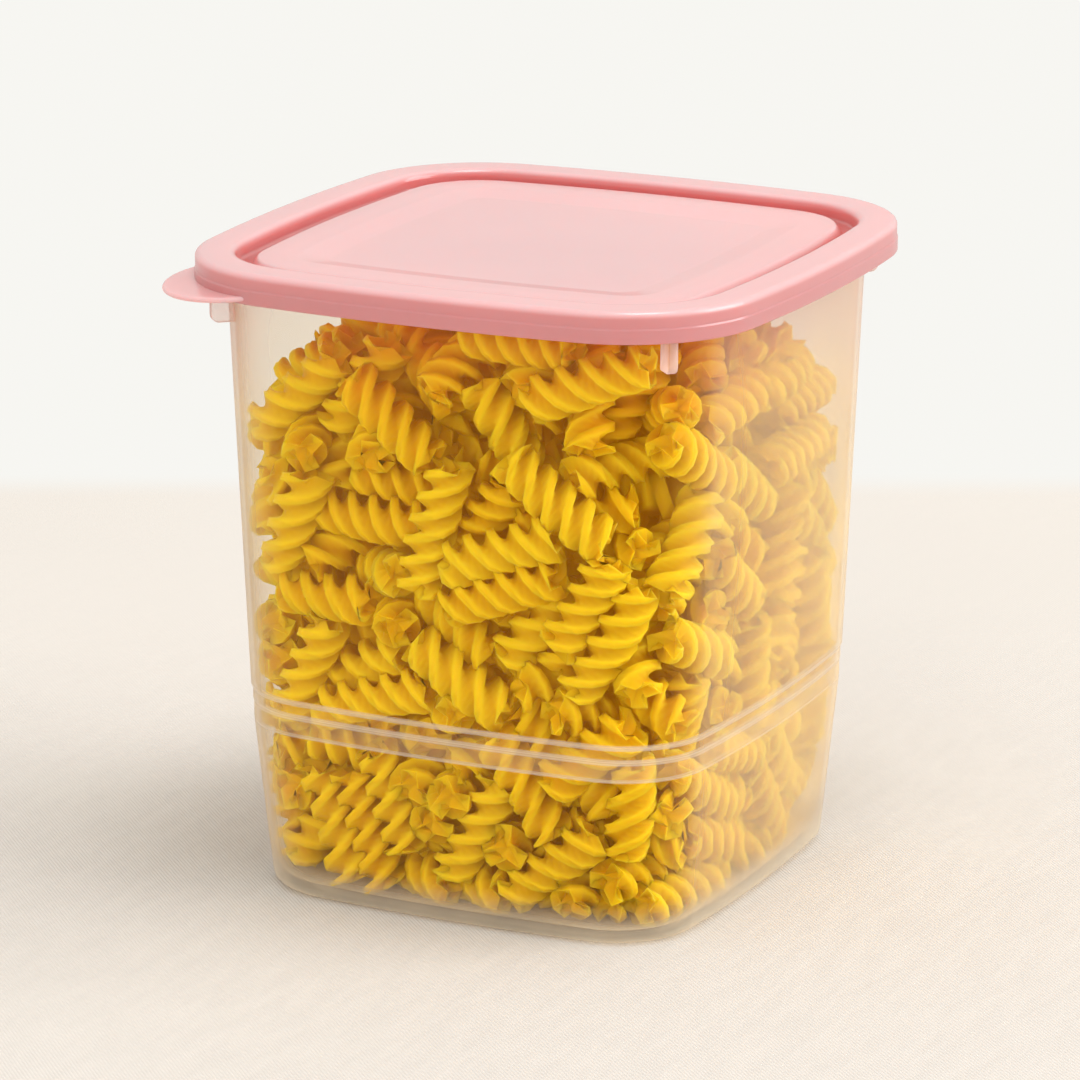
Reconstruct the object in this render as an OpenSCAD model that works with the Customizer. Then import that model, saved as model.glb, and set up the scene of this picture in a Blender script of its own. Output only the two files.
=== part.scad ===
// Square kitchen food canister: a translucent moulded container and its soft pull-off lid.
// Units are millimetres, +Z is up, and the origin is the middle of the foot on the table.
// The pull tab points to the -X -Y corner of the lid.

/* [Container] */
// Height of the container to the top of its rim
body_h = 148.7; // [110:0.1:220]
// Width across the outside of the wall just under the rim
mouth_w = 125.5; // [100:0.1:170]
// Width across the lower wall where it would meet the table
base_w = 108.4; // [90:0.1:150]
// Corner radius of the wall at the mouth
mouth_corner_r = 25; // [18:0.5:34]
// Corner radius of the wall at the table
base_corner_r = 19; // [14:0.5:26]
// Radius of the slightly bowed sides, seen from above
side_r = 430; // [300:5:900]
// Thickness of the wall
wall_t = 1.1; // [0.8:0.05:2]
// Thickness of the floor
floor_t = 1.5; // [1:0.1:3]
// Outside radius where the wall turns into the foot
base_round_r = 3.2; // [2:0.1:6]
// Inside radius between wall and floor
floor_round_r = 4; // [2:0.1:8]
// Width of the ring that the container stands on
foot_w = 3; // [1.5:0.1:6]
// Height by which the floor is raised inside the foot ring
foot_recess = 0.9; // [0.4:0.1:2]

/* [Step band] */
// Height of the bend where the steeper lower wall ends
band_z = 40.2; // [25:0.1:70]
// Width across the wall at that bend
band_w = 115.9; // [95:0.1:160]
// Height of the band
band_h = 8; // [6:0.1:15]
// Height of the lower shoulder above the bend
band_mid_h = 4.5; // [2:0.1:4.9]
// Outward step of the lower shoulder
mid_step = 0.2; // [0.1:0.05:0.6]
// Outward step of the upper shoulder
top_step = 0.35; // [0.1:0.05:0.8]
// Height of one shoulder
shoulder_h = 0.9; // [0.5:0.1:2]

/* [Rim] */
// Reach of the rim outside the wall
rim_reach = 5.45; // [3.5:0.05:9]
// Thickness of the rim's flat top
rim_t = 1.4; // [1:0.1:2.5]
// Depth of the turned-down lip, from the top of the rim
lip_h = 5.1; // [3:0.1:9]
// Thickness of the turned-down lip
lip_t = 1.3; // [0.9:0.1:2]
// Rounding of the rim's edges
rim_round_r = 0.9; // [0.3:0.1:1.2]

/* [Corner ribs] */
// Thickness of a rib
rib_t = 2.2; // [1.2:0.1:4]
// Length of a rib below the lip
rib_drop = 8.4; // [4:0.1:16]
// Distance of a rib's outer edge inside the outside of the lip
rib_inset = 0.65; // [0.2:0.05:1.2]
// Rounding of a rib's lower outer corner
rib_round_r = 1.8; // [0.5:0.1:3]

/* [Lid] */
// Thickness of the lid's top
lid_t = 1.2; // [0.9:0.05:2]
// Thickness of the skirt
skirt_t = 1.5; // [1:0.05:2.5]
// Height of the skirt
skirt_h = 7.2; // [5:0.1:14]
// Height of the thicker band along the lower edge of the skirt
skirt_band_h = 3.3; // [1.5:0.1:4]
// Set-back of the skirt above that band
skirt_band_step = 0.2; // [0.1:0.05:0.5]
// Rounding of the lid's outer top edge
lid_round_r = 1.4; // [0.8:0.1:2]
// Rounding of the edge between the lid's rim and the gutter
gutter_edge_r = 2.2; // [1:0.1:2.6]
// Height of the bead inside the skirt's lower edge
bead_h = 1.2; // [0.6:0.1:2]
// Thickness of the sealing lip that enters the mouth
plug_t = 1; // [0.7:0.05:1.6]
// Depth of the sealing lip, from the top of the lid
plug_h = 6.9; // [5.6:0.1:14]
// Depth of the gutter between rim and panel
gutter_depth = 3.9; // [2.5:0.1:4.6]
// Width of the gutter's floor
gutter_w = 3.45; // [2:0.05:8]
// Distance of the panel's top below the top of the lid
panel_drop = 1.6; // [0.6:0.1:2.2]
// Slope of the panel's wall, as width at its foot
panel_wall_run = 1.4; // [0.5:0.1:2]
// Width of the panel's raised border
border_w = 9; // [5:0.1:16]
// Crown of the raised border
border_crown = 0.15; // [0:0.05:0.5]
// Width of the slope inside the border
dish_run = 6.8; // [3:0.1:14]
// Depth of the dished middle below the border
dish_depth = 0.95; // [0.3:0.05:1.8]

/* [Pull tab] */
// Radius of the tab's round end
tab_r = 18; // [12:0.5:20]
// Reach of the tab beyond the skirt's corner
tab_reach = 8; // [4:0.1:9]
// Thickness of the tab
tab_t = 1.2; // [0.8:0.1:2]
// Downward slope of the tab, in degrees
tab_droop = 5; // [0:0.5:8]
// Radius of the fillets at the tab's root
tab_root_r = 5; // [1:0.5:10]

/* [Fits] */
// Clearance between the skirt and the lip
rim_gap = 0.3; // [0.15:0.05:0.6]
// Clearance between the lip and the small bead inside the skirt's lower edge
bead_gap = 0.15; // [0.1:0.05:0.3]
// Clearance between the lid and the top of the rim
seat_gap = 0.2; // [0.1:0.05:0.4]
// Clearance between the sealing lip and the inside of the mouth
plug_gap = 0.2; // [0.1:0.05:0.4]

/* [Colours] */
container_colour = [0.95, 0.92, 0.87, 0.45];
lid_colour = [0.95, 0.72, 0.72];

/* [Hidden] */
side_steps = 4;
corner_steps = 12;
arc_steps = 4;

mouth_hw = mouth_w / 2;
band_hw = band_w / 2;
base_hw = base_w / 2;
floor_z = foot_recess + floor_t;
band_top_z = band_z + band_h;
rim_under_z = body_h - rim_t;
lip_z = body_h - lip_h;
band_top_hw = band_hw + mid_step + top_step;

ceiling_z = body_h + seat_gap;
lid_top_z = ceiling_z + lid_t;
skirt_z = lid_top_z - skirt_h;
skirt_in = rim_reach + rim_gap;
skirt_out = skirt_in + skirt_t;
bead_in = rim_reach + bead_gap;
gutter_z = lid_top_z - gutter_depth;
panel_z = lid_top_z - panel_drop;
dish_z = panel_z - dish_depth;
plug_z = lid_top_z - plug_h;
plug_out = -wall_t - plug_gap;
plug_in = plug_out - plug_t;
panel_edge = plug_in - gutter_w - panel_wall_run;
border_in = panel_edge - border_w;
dish_edge = border_in - dish_run;
smallest_corner_r = 5;

// ---------------------------------------------------------------- outlines

// Middle of the corner arc of a rounded square with bowed sides.
function corner_at(hw, r) =
    let (k = side_r - hw, d = side_r - r)
    (sqrt(2 * d * d - k * k) - k) / 2;

// Distance from the middle of such a square to its corner, along the diagonal.
function diagonal(hw, r) = sqrt(2) * corner_at(hw, r) + r;

// One quarter of the outline: half a side's arc on each end of a corner's arc.
function quarter(hw, r) =
    let (
        c = corner_at(hw, r),
        k = side_r - hw,
        a = atan2(c, c + k)
    )
    concat(
        [for (i = [0 : side_steps - 1])
            let (t = a * (2 * i / side_steps - 1))
            [side_r * cos(t) - k, side_r * sin(t)]],
        [for (i = [0 : corner_steps - 1])
            let (t = a + (90 - 2 * a) * i / corner_steps)
            [c + r * cos(t), c + r * sin(t)]]
    );

// The whole outline, counter-clockwise.
function outline(hw, r) =
    let (q = quarter(hw, r))
    [for (turn = [0 : 3], p = q)
        let (s = sin(90 * turn), c = cos(90 * turn))
        [c * p[0] - s * p[1], s * p[0] + c * p[1]]];

// Outline of the mouth, moved outwards by a distance.
function mouth_outline(out) =
    outline(mouth_hw + out, max(mouth_corner_r + out, smallest_corner_r));

// A level ring of points for the lofts.
function raised(points, z) = [for (p = points) [p[0], p[1], z]];

// ---------------------------------------------------------------- profiles

// Points of an arc in a profile, from one angle to another.
function bend(out, z, r, from, to) =
    [for (i = [0 : arc_steps])
        let (a = from + (to - from) * i / arc_steps)
        [out + r * cos(a), z + r * sin(a)]];

// Lean of the lower wall, and the wall's corner radius at a height.
lower_lean = atan2(band_hw - base_hw, band_z);
function wall_corner_r(z) =
    base_corner_r + (mouth_corner_r - base_corner_r) * z / rim_under_z;

// Outside of the wall as [half width, height], from above the foot to the rim.
wall_line = [
    [band_hw, band_z],
    [band_hw, band_z + band_mid_h - shoulder_h],
    [band_hw + mid_step, band_z + band_mid_h],
    [band_hw + mid_step, band_top_z - shoulder_h],
    [band_top_hw, band_top_z],
];

// Half width at which a rounding of radius r, resting on height z, meets the leaning wall.
function round_at(r, z, inset) =
    base_hw - inset + (z + r) * tan(lower_lean) - r / cos(lower_lean);

foot_out = round_at(base_round_r, 0, 0);
floor_out = round_at(floor_round_r, floor_z, wall_t) + wall_t;

foot_profile = concat(
    [
        [foot_out - foot_w - foot_recess, foot_recess],
        [foot_out - foot_w - foot_recess / 4, foot_recess / 4],
        [foot_out - foot_w + foot_recess / 4, 0],
    ],
    bend(foot_out, base_round_r, base_round_r, -90, -lower_lean)
);

floor_profile = bend(floor_out, floor_z + floor_round_r, floor_round_r, -lower_lean, -90);

// Rings of the wall, with an inset for the inside.
function wall_rings(profile, inset) =
    [for (p = profile)
        raised(outline(p[0] - inset, wall_corner_r(p[1]) - inset), p[1])];

function reversed(list) = [for (i = [len(list) - 1 : -1 : 0]) list[i]];

// Rim in section, as [distance outside the mouth's wall, height].
rim_profile = concat(
    bend(rim_round_r, rim_under_z - rim_round_r, rim_round_r, 180, 90),
    [
        [rim_reach - lip_t, rim_under_z],
        [rim_reach - lip_t, lip_z + lip_t / 4],
        [rim_reach - lip_t * 3 / 4, lip_z],
        [rim_reach - lip_t / 4, lip_z],
        [rim_reach, lip_z + lip_t / 4],
    ],
    bend(rim_reach - rim_round_r, body_h - rim_round_r, rim_round_r, 0, 90),
    bend(rim_round_r - wall_t, body_h - rim_round_r, rim_round_r, 90, 180)
);

// Lid in section: its visible side from the middle outwards, then its underside back.
lid_top_profile = concat(
    [
        [dish_edge, dish_z],
        [dish_edge + dish_run / 5, dish_z + dish_depth / 12],
        [border_in - dish_run / 5, panel_z - dish_depth / 12],
        [border_in, panel_z],
        [border_in + border_w / 2, panel_z + border_crown],
    ],
    bend(panel_edge - rim_round_r, panel_z - rim_round_r, rim_round_r, 90, 35),
    [
        [panel_edge + panel_wall_run, gutter_z + rim_round_r / 3],
        [panel_edge + panel_wall_run + rim_round_r, gutter_z],
    ],
    bend(plug_in - rim_round_r, gutter_z + rim_round_r, rim_round_r, -90, 0),
    bend(plug_in + gutter_edge_r, lid_top_z - gutter_edge_r, gutter_edge_r, 180, 90),
    bend(skirt_out - skirt_band_step - lid_round_r, lid_top_z - lid_round_r, lid_round_r, 90, 0),
    [
        [skirt_out - skirt_band_step, skirt_z + skirt_band_h + skirt_band_step],
        [skirt_out, skirt_z + skirt_band_h - skirt_band_step],
        [skirt_out, skirt_z + skirt_t / 6],
        [skirt_out - skirt_t / 6, skirt_z],
    ]
);

lid_under_profile = concat(
    [
        [skirt_in + skirt_t / 8, skirt_z],
        [bead_in, skirt_z + bead_h / 4],
        [bead_in, skirt_z + bead_h * 3 / 4],
        [skirt_in, skirt_z + bead_h],
    ],
    bend(skirt_in - rim_round_r, ceiling_z - rim_round_r, rim_round_r, 0, 90),
    bend(plug_out + rim_round_r, ceiling_z - rim_round_r, rim_round_r, 90, 180),
    [
        [plug_out, plug_z + plug_t / 4],
        [plug_out - plug_t / 4, plug_z],
        [plug_in + plug_t / 4, plug_z],
        [plug_in, plug_z + plug_t / 4],
        [plug_in, gutter_z - lid_t - plug_t / 4],
        [plug_in - plug_t / 4, gutter_z - lid_t],
        [panel_edge + panel_wall_run - lid_t / 2, gutter_z - lid_t],
        [panel_edge - lid_t, panel_z - lid_t - rim_round_r / 2],
        [panel_edge - lid_t - rim_round_r / 2, panel_z - lid_t],
        [border_in, panel_z - lid_t],
        [dish_edge, dish_z - lid_t],
    ]
);

// ---------------------------------------------------------------- solids

// Closed solid through a list of rings, with a fan to the middle at each end.
module loft(rings) {
    n = len(rings[0]);
    last = len(rings) - 1;
    points = concat(
        [for (ring = rings, p = ring) p],
        [[0, 0, rings[0][0][2]], [0, 0, rings[last][0][2]]]
    );
    first_middle = n * len(rings);
    sides = [for (i = [0 : last - 1], j = [0 : n - 1])
        let (a = i * n + j, b = i * n + (j + 1) % n)
        each [[a, a + n, b], [b, a + n, b + n]]];
    ends = [for (j = [0 : n - 1])
        let (k = (j + 1) % n)
        each [[first_middle, j, k], [first_middle + 1, last * n + k, last * n + j]]];
    polyhedron(points = points, faces = concat(sides, ends), convexity = 8);
}

// A fin on the diagonal under the rim, from inside the wall to the lip.
module corner_rib() {
    low = lip_z - rib_drop;
    high = body_h - rim_t / 2;
    reach = diagonal(mouth_hw + rim_reach, mouth_corner_r + rim_reach) - rib_inset;
    low_hw = band_top_hw + (mouth_hw - band_top_hw) * (low - band_top_z) / (rim_under_z - band_top_z);
    root_low = diagonal(low_hw, wall_corner_r(low)) - wall_t / 2;
    root_high = diagonal(mouth_hw, mouth_corner_r) - wall_t / 2;
    rotate([90, 0, 0])
        translate([0, 0, -rib_t / 2])
            linear_extrude(height = rib_t)
                polygon(concat(
                    [[root_low, low]],
                    bend(reach - rib_round_r, low + rib_round_r, rib_round_r, -90, 0),
                    [[reach, lip_z + lip_t / 2], [reach, high], [root_high, high]]
                ));
}

module container() {
    color(container_colour) {
        loft(concat(
            wall_rings(foot_profile, 0),
            wall_rings(wall_line, 0),
            [for (p = rim_profile) raised(mouth_outline(p[0]), p[1])],
            wall_rings(reversed(wall_line), wall_t),
            wall_rings(floor_profile, wall_t)
        ));
        for (turn = [45 : 90 : 315])
            rotate([0, 0, turn])
                corner_rib();
    }
}

// The thin tongue at one corner of the skirt, with filleted roots.
module pull_tab() {
    seat = skirt_out - skirt_t / 3;
    corner = diagonal(mouth_hw + skirt_out, mouth_corner_r + skirt_out);
    rotate([0, 0, 225])
        translate([corner, 0, skirt_z + tab_t / 8])
            rotate([0, tab_droop, 0])
                linear_extrude(height = tab_t)
                    translate([-corner, 0])
                        intersection() {
                            difference() {
                                offset(r = -tab_root_r)
                                    offset(r = tab_root_r) {
                                        rotate(-225)
                                            polygon(mouth_outline(seat));
                                        translate([corner + tab_reach - tab_r, 0])
                                            circle(r = tab_r, $fn = 64);
                                    }
                                rotate(-225)
                                    polygon(mouth_outline(seat - skirt_t / 3));
                            }
                            translate([corner - tab_r, -2 * tab_r])
                                square([2 * tab_r, 4 * tab_r]);
                        }
}

module lid() {
    color(lid_colour) {
        loft([for (p = reversed(concat(lid_top_profile, lid_under_profile)))
            raised(mouth_outline(p[0]), p[1])]);
        pull_tab();
    }
}

container();
lid();
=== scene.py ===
"""Square kitchen canister with a soft pull-off lid, filled with dry pasta spirals.

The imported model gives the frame: metres, +Z up, the foot on z = 0, and the lid's pull tab
over the -X -Y corner. The canister and the lid are rebuilt here as finer surfaces on the
same sections, and the pasta, which is the canister's contents, is packed into it.
"""

import logging
import math
from dataclasses import dataclass
from enum import Enum
from typing import Any, Callable, List, Mapping, Optional, Sequence, Tuple, Union

import bpy
import numpy as np
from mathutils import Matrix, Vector


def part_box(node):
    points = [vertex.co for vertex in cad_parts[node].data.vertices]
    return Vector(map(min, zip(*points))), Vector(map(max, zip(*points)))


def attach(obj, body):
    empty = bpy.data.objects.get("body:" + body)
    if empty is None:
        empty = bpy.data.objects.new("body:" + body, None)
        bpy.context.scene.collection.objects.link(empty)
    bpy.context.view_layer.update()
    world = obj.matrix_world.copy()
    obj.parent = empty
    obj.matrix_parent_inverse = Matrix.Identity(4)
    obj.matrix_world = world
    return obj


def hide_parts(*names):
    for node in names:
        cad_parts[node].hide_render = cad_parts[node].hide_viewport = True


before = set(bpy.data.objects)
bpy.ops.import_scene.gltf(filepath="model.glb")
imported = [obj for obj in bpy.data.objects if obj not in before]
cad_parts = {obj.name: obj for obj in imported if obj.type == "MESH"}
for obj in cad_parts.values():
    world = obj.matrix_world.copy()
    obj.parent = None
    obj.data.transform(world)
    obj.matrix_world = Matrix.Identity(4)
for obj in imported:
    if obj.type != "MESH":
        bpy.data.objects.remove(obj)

MM = 0.001
LOG = logging.getLogger("canister")

Array = np.ndarray
Piece = bpy.types.Object
Socket = bpy.types.NodeSocket
Colour = Tuple[float, float, float]
Corner = Tuple[float, float, float, float]
Span = Tuple[float, float]

BLACK: Colour = (0.0, 0.0, 0.0)
WHITE: Colour = (1.0, 1.0, 1.0)


class Body(str, Enum):
    """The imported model's bodies, which are also its two nodes."""

    CONTAINER = "container"
    LID = "lid"


# ------------------------------------------------------------------ outlines and sections


def bowed_squares(half_widths: Array, corner_radii: Array, bow_radius: float,
                  side_steps: int, corner_steps: int) -> Array:
    """Outlines of rounded squares whose sides are shallow arcs.

    Each side is an arc of the bow radius. Each corner is an arc tangent to two sides. Its
    middle lies on the diagonal at c, c, where 2c + k = sqrt(2 (bow - r)^2 - k^2) and k is
    the bow radius less the half width. One quarter is worked out and turned four times.

    Args:
        half_widths: Distance from the middle to each side, one per outline.
        corner_radii: Corner radius, one per outline.
        bow_radius: Radius of the sides.
        side_steps: Points on each side.
        corner_steps: Points on each corner.

    Returns:
        Points of shape (outlines, points, 2), counter-clockwise.
    """
    hw = np.asarray(half_widths, float)[:, None]
    r = np.asarray(corner_radii, float)[:, None]
    k = bow_radius - hw
    c = (np.sqrt(2 * (bow_radius - r) ** 2 - k ** 2) - k) / 2
    a = np.arctan2(c, c + k)
    side = a * (2 * np.arange(side_steps) / side_steps - 1)
    corner = a + (math.pi / 2 - 2 * a) * np.arange(corner_steps) / corner_steps
    x = np.concatenate([bow_radius * np.cos(side) - k, c + r * np.cos(corner)], axis=1)
    y = np.concatenate([bow_radius * np.sin(side), c + r * np.sin(corner)], axis=1)
    turns = [(x, y), (-y, x), (-x, -y), (y, -x)]
    return np.concatenate([np.stack(t, axis=-1) for t in turns], axis=1)


def rounded_section(corners: Sequence[Corner], steps: int = 5, hold: float = 0.25 * MM,
                    most: float = 0.45) -> Array:
    """A section through a moulding with each corner rounded.

    A corner of turn angle t and radius r is cut back by r tan(t / 2) along both of its
    edges and replaced by an arc. A point stands a short hold before and after each arc, so
    that smooth shading stays flat on the straight runs between them.

    Args:
        corners: Half width, height, corner radius in plan and rounding of each corner.
        steps: Segments in each rounding.
        hold: Distance of the holding points from the ends of an arc.
        most: Largest share of an edge that one rounding takes.

    Returns:
        Half width, height and plan radius of each point, shape (points, 3).
    """
    points = np.asarray(corners, float)
    path = points[:, :3]
    out: List[Array] = [path[:1]]
    for before, here, after, rounding in zip(path[:-2], path[1:-1], path[2:], points[1:-1, 3]):
        back, ahead = before - here, after - here
        back_len, ahead_len = np.hypot(*back[:2]), np.hypot(*ahead[:2])
        u, v = back / back_len, ahead / ahead_len
        turn = math.pi - math.acos(float(np.clip(u[:2] @ v[:2], -1, 1)))
        cut = min(rounding * math.tan(turn / 2), most * back_len, most * ahead_len)
        radius = cut / max(math.tan(turn / 2), 1e-9)
        start, end = here + u * cut, here + v * cut
        middle = (start + end) / 2 - here
        centre = here[:2] + middle[:2] * (cut ** 2 + radius ** 2) / cut ** 2
        share = np.arange(steps + 1)[:, None] / steps
        weight_a = np.sin((1 - share) * turn) / math.sin(turn)
        weight_b = np.sin(share * turn) / math.sin(turn)
        arc = centre + weight_a * (start[:2] - centre) + weight_b * (end[:2] - centre)
        plan = start[2] + share * (end[2] - start[2])
        if back_len - cut > 4 * hold:
            out.append((start + u * hold)[None])
        out.append(np.concatenate([arc, plan], axis=1))
        if ahead_len - cut > 4 * hold:
            out.append((end + v * hold)[None])
    out.append(path[-1:])
    return np.concatenate(out)


def unit(vectors: Array) -> Array:
    """The vectors, one a row, brought to length 1."""
    return vectors / np.linalg.norm(vectors, axis=1, keepdims=True)


def arc_points(centre: Sequence[float], radius: float, start: float, end: float,
               steps: int) -> Array:
    """Points of a plane arc from one angle to another, both ends included."""
    t = start + (end - start) * np.arange(steps + 1) / steps
    return np.stack([centre[0] + radius * np.cos(t), centre[1] + radius * np.sin(t)], axis=1)


# ------------------------------------------------------------------ meshes


def mesh_object(name: str, points: Array, quads: Array, others: Sequence[Array] = (),
                smooth: bool = True) -> Piece:
    """A mesh object from whole arrays, at the origin.

    Args:
        name: Name of the piece.
        points: Vertices, shape (n, 3), in metres.
        quads: Four vertex numbers a face.
        others: More face arrays, each with its own count of corners.
        smooth: Whether the faces are shaded smooth.

    Returns:
        The object, linked to the scene.
    """
    groups = [np.asarray(f, np.int32) for f in (quads, *others) if len(f)]
    corners = np.concatenate([f.ravel() for f in groups])
    sizes = np.concatenate([np.full(len(f), f.shape[1], np.int32) for f in groups])
    starts = np.concatenate([[0], np.cumsum(sizes)[:-1]]).astype(np.int32)
    mesh = bpy.data.meshes.new(name)
    mesh.vertices.add(len(points))
    mesh.vertices.foreach_set("co", np.asarray(points, np.float32).ravel())
    mesh.loops.add(len(corners))
    mesh.loops.foreach_set("vertex_index", corners)
    mesh.polygons.add(len(sizes))
    mesh.polygons.foreach_set("loop_start", starts)
    mesh.update(calc_edges=True)
    mesh.polygons.foreach_set("use_smooth", np.full(len(sizes), smooth))
    mesh.validate()
    piece = bpy.data.objects.new(name, mesh)
    bpy.context.scene.collection.objects.link(piece)
    return piece


def point_numbers(piece: Piece, key: str, numbers: Array) -> None:
    """Keeps a number on each point of a piece, for its finish to read."""
    layer = piece.data.attributes.new(key, "FLOAT", "POINT")
    layer.data.foreach_set("value", np.ascontiguousarray(numbers, np.float32).ravel())


def ring_faces(rings: int, points: int, closed: bool = True) -> Array:
    """Quads between following rings of a grid, each ring closed on itself or open."""
    i = np.arange(rings - 1)[:, None] * points
    j = np.arange(points if closed else points - 1)[None, :]
    k = (j + 1) % points
    return np.stack([i + j, i + k, i + points + k, i + points + j], axis=-1).reshape(-1, 4)


def fan_faces(rings: int, points: int) -> Array:
    """Triangles from the first and last ring of a closed grid to the two points after it."""
    j = np.arange(points)
    k = (j + 1) % points
    pole = np.full(points, rings * points)
    last = (rings - 1) * points
    return np.concatenate([np.stack([pole, k, j], axis=1),
                           np.stack([pole + 1, last + j, last + k], axis=1)])


def lofted(name: str, section: Array, bow_radius: float, side_steps: int = 12,
           corner_steps: int = 22) -> Piece:
    """A closed moulding: a section carried round a bowed square.

    The surface is a function of place along the section and place round the outline. Each
    end of the section is closed by a fan to a point on the axis.

    Args:
        name: Name of the piece.
        section: Half width, height and plan radius of each ring.
        bow_radius: Radius of the sides.
        side_steps: Points on each side.
        corner_steps: Points on each corner.

    Returns:
        The piece, with each point's half width kept on it as the attribute reach.
    """
    outline = bowed_squares(section[:, 0], section[:, 2], bow_radius, side_steps, corner_steps)
    rings, count = outline.shape[:2]
    heights = np.broadcast_to(section[:, 1, None, None], (rings, count, 1))
    grid = np.concatenate([outline, heights], axis=2).reshape(-1, 3)
    poles = [[0, 0, section[0, 1]], [0, 0, section[-1, 1]]]
    piece = mesh_object(name, np.concatenate([grid, poles]), ring_faces(rings, count),
                        [fan_faces(rings, count)])
    point_numbers(piece, "reach", np.concatenate([np.repeat(section[:, 0], count), [0, 0]]))
    return piece


# ------------------------------------------------------------------ shader expressions


class Value:
    """A number in a shader; arithmetic on it adds Math nodes."""

    def __init__(self, tree: "ShaderTree", socket: Socket) -> None:
        """Keeps the tree and the socket that carries the number."""
        self.tree = tree
        self.socket = socket

    def __add__(self, other: "Number") -> "Value":
        """self + other."""
        return self.tree.math("ADD", self, other)

    __radd__ = __add__

    def __sub__(self, other: "Number") -> "Value":
        """self - other."""
        return self.tree.math("SUBTRACT", self, other)

    def __rsub__(self, other: "Number") -> "Value":
        """other - self."""
        return self.tree.math("SUBTRACT", other, self)

    def __mul__(self, other: "Number") -> "Value":
        """self * other."""
        return self.tree.math("MULTIPLY", self, other)

    def __pow__(self, exponent: "Number") -> "Value":
        """self to a power."""
        return self.tree.math("POWER", self, exponent)

    def clamped(self) -> "Value":
        """self, held between 0 and 1."""
        return self.tree.math("MULTIPLY", self, 1.0, clamp=True)

    def within(self, low: float, high: float, soft: float) -> "Value":
        """1 between low and high, falling smoothly to 0 over a soft distance outside them."""
        return self.step(low - soft, low) * (1 - self.step(high, high + soft))

    def step(self, low: float, high: float) -> "Value":
        """0 below low and 1 above high, with a smooth rise between."""
        return self.tree.value("ShaderNodeMapRange", {"interpolation_type": "SMOOTHSTEP"},
                               {"Value": self, "From Min": low, "From Max": high})


Number = Union[float, Value]
Tint = Union[Colour, Socket]


class ShaderTree:
    """The node tree of one new material or world."""

    def __init__(self, owner: Union[bpy.types.Material, bpy.types.World]) -> None:
        """Empties the owner's tree and gives it an output."""
        owner.use_nodes = True
        self.owner = owner
        self.nodes, self.links = owner.node_tree.nodes, owner.node_tree.links
        self.nodes.clear()
        kind = "World" if isinstance(owner, bpy.types.World) else "Material"
        self.output = self.nodes.new(f"ShaderNodeOutput{kind}")
        self._place: Optional[Socket] = None

    def node(self, kind: str, settings: Optional[Mapping[str, Any]] = None,
             sockets: Optional[Mapping[Union[str, int], Any]] = None) -> bpy.types.Node:
        """Adds a node.

        Args:
            kind: The node's type.
            settings: Its properties, set before its sockets.
            sockets: What its inputs get, by name or number: a Value, another node's
                socket, a number, or a colour without its alpha.

        Returns:
            The node.
        """
        made = self.nodes.new(kind)
        for key, setting in (settings or {}).items():
            setattr(made, key, setting)
        for key, given in (sockets or {}).items():
            target = made.inputs[key]
            given = given.socket if isinstance(given, Value) else given
            if isinstance(given, Socket):
                self.links.new(given, target)
            else:
                target.default_value = (*given, 1.0) if target.type == "RGBA" else given
        return made

    def value(self, kind: str, settings: Optional[Mapping[str, Any]] = None,
              sockets: Optional[Mapping[Union[str, int], Any]] = None,
              output: Union[str, int] = 0) -> Value:
        """Adds a node and returns one of its outputs as a number."""
        return Value(self, self.node(kind, settings, sockets).outputs[output])

    def shader(self, kind: str, sockets: Mapping[Union[str, int], Any]) -> Socket:
        """Adds a shader node, such as a BsdfDiffuse, and returns its output."""
        return self.node(f"ShaderNode{kind}", None, sockets).outputs[0]

    def math(self, operation: str, *operands: Number, clamp: bool = False) -> Value:
        """Adds a Math node on the operands."""
        return self.value("ShaderNodeMath", {"operation": operation, "use_clamp": clamp},
                          dict(enumerate(operands)))

    def place(self) -> Socket:
        """Object coordinates."""
        if self._place is None:
            self._place = self.node("ShaderNodeTexCoord").outputs["Object"]
        return self._place

    def along(self, axis: str) -> Value:
        """One of the object coordinates, X, Y or Z."""
        return self.value("ShaderNodeSeparateXYZ", None, {0: self.place()}, axis)

    def noise(self, scale: float, detail: float, stretch: Optional[Colour] = None) -> Value:
        """Noise of about 0.5 on average, in object coordinates that may be scaled by axis."""
        vector = self.place()
        if stretch:
            vector = self.node("ShaderNodeMapping", None,
                               {"Vector": vector, "Scale": stretch}).outputs[0]
        return self.value("ShaderNodeTexNoise", None,
                          {"Vector": vector, "Scale": scale, "Detail": detail})

    def attribute(self, name: str) -> Value:
        """A number kept on the mesh's points."""
        return self.value("ShaderNodeAttribute", {"attribute_name": name}, None, "Fac")

    def seen(self) -> Value:
        """1 where the camera looks, straight or by a glossy reflection, and 0 for other light."""
        path = self.node("ShaderNodeLightPath")
        return self.math("MAXIMUM", *[Value(self, path.outputs[f"Is {kind} Ray"])
                                      for kind in ("Camera", "Glossy")])

    def blend(self, share: Number, low: Tint, high: Tint) -> Socket:
        """A colour between two colours."""
        return self.node("ShaderNodeMix", {"data_type": "RGBA"},
                         {0: share, 6: low, 7: high}).outputs[2]

    def relief(self, height: Value, depth: float) -> Socket:
        """A normal that shows a height, whose 0 to 1 stands for a depth in metres."""
        return self.node("ShaderNodeBump", None, {"Height": height, "Distance": depth}).outputs[0]

    def layered(self, share: Number, under: Socket, over: Socket) -> Socket:
        """A mix of two shaders."""
        return self.shader("MixShader", {0: share, 1: under, 2: over})

    def shown(self, shader: Socket) -> Union[bpy.types.Material, bpy.types.World]:
        """Links a shader to the output and returns the material or world."""
        self.links.new(shader, self.output.inputs["Surface"])
        return self.owner


# ------------------------------------------------------------------ finishes


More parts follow.
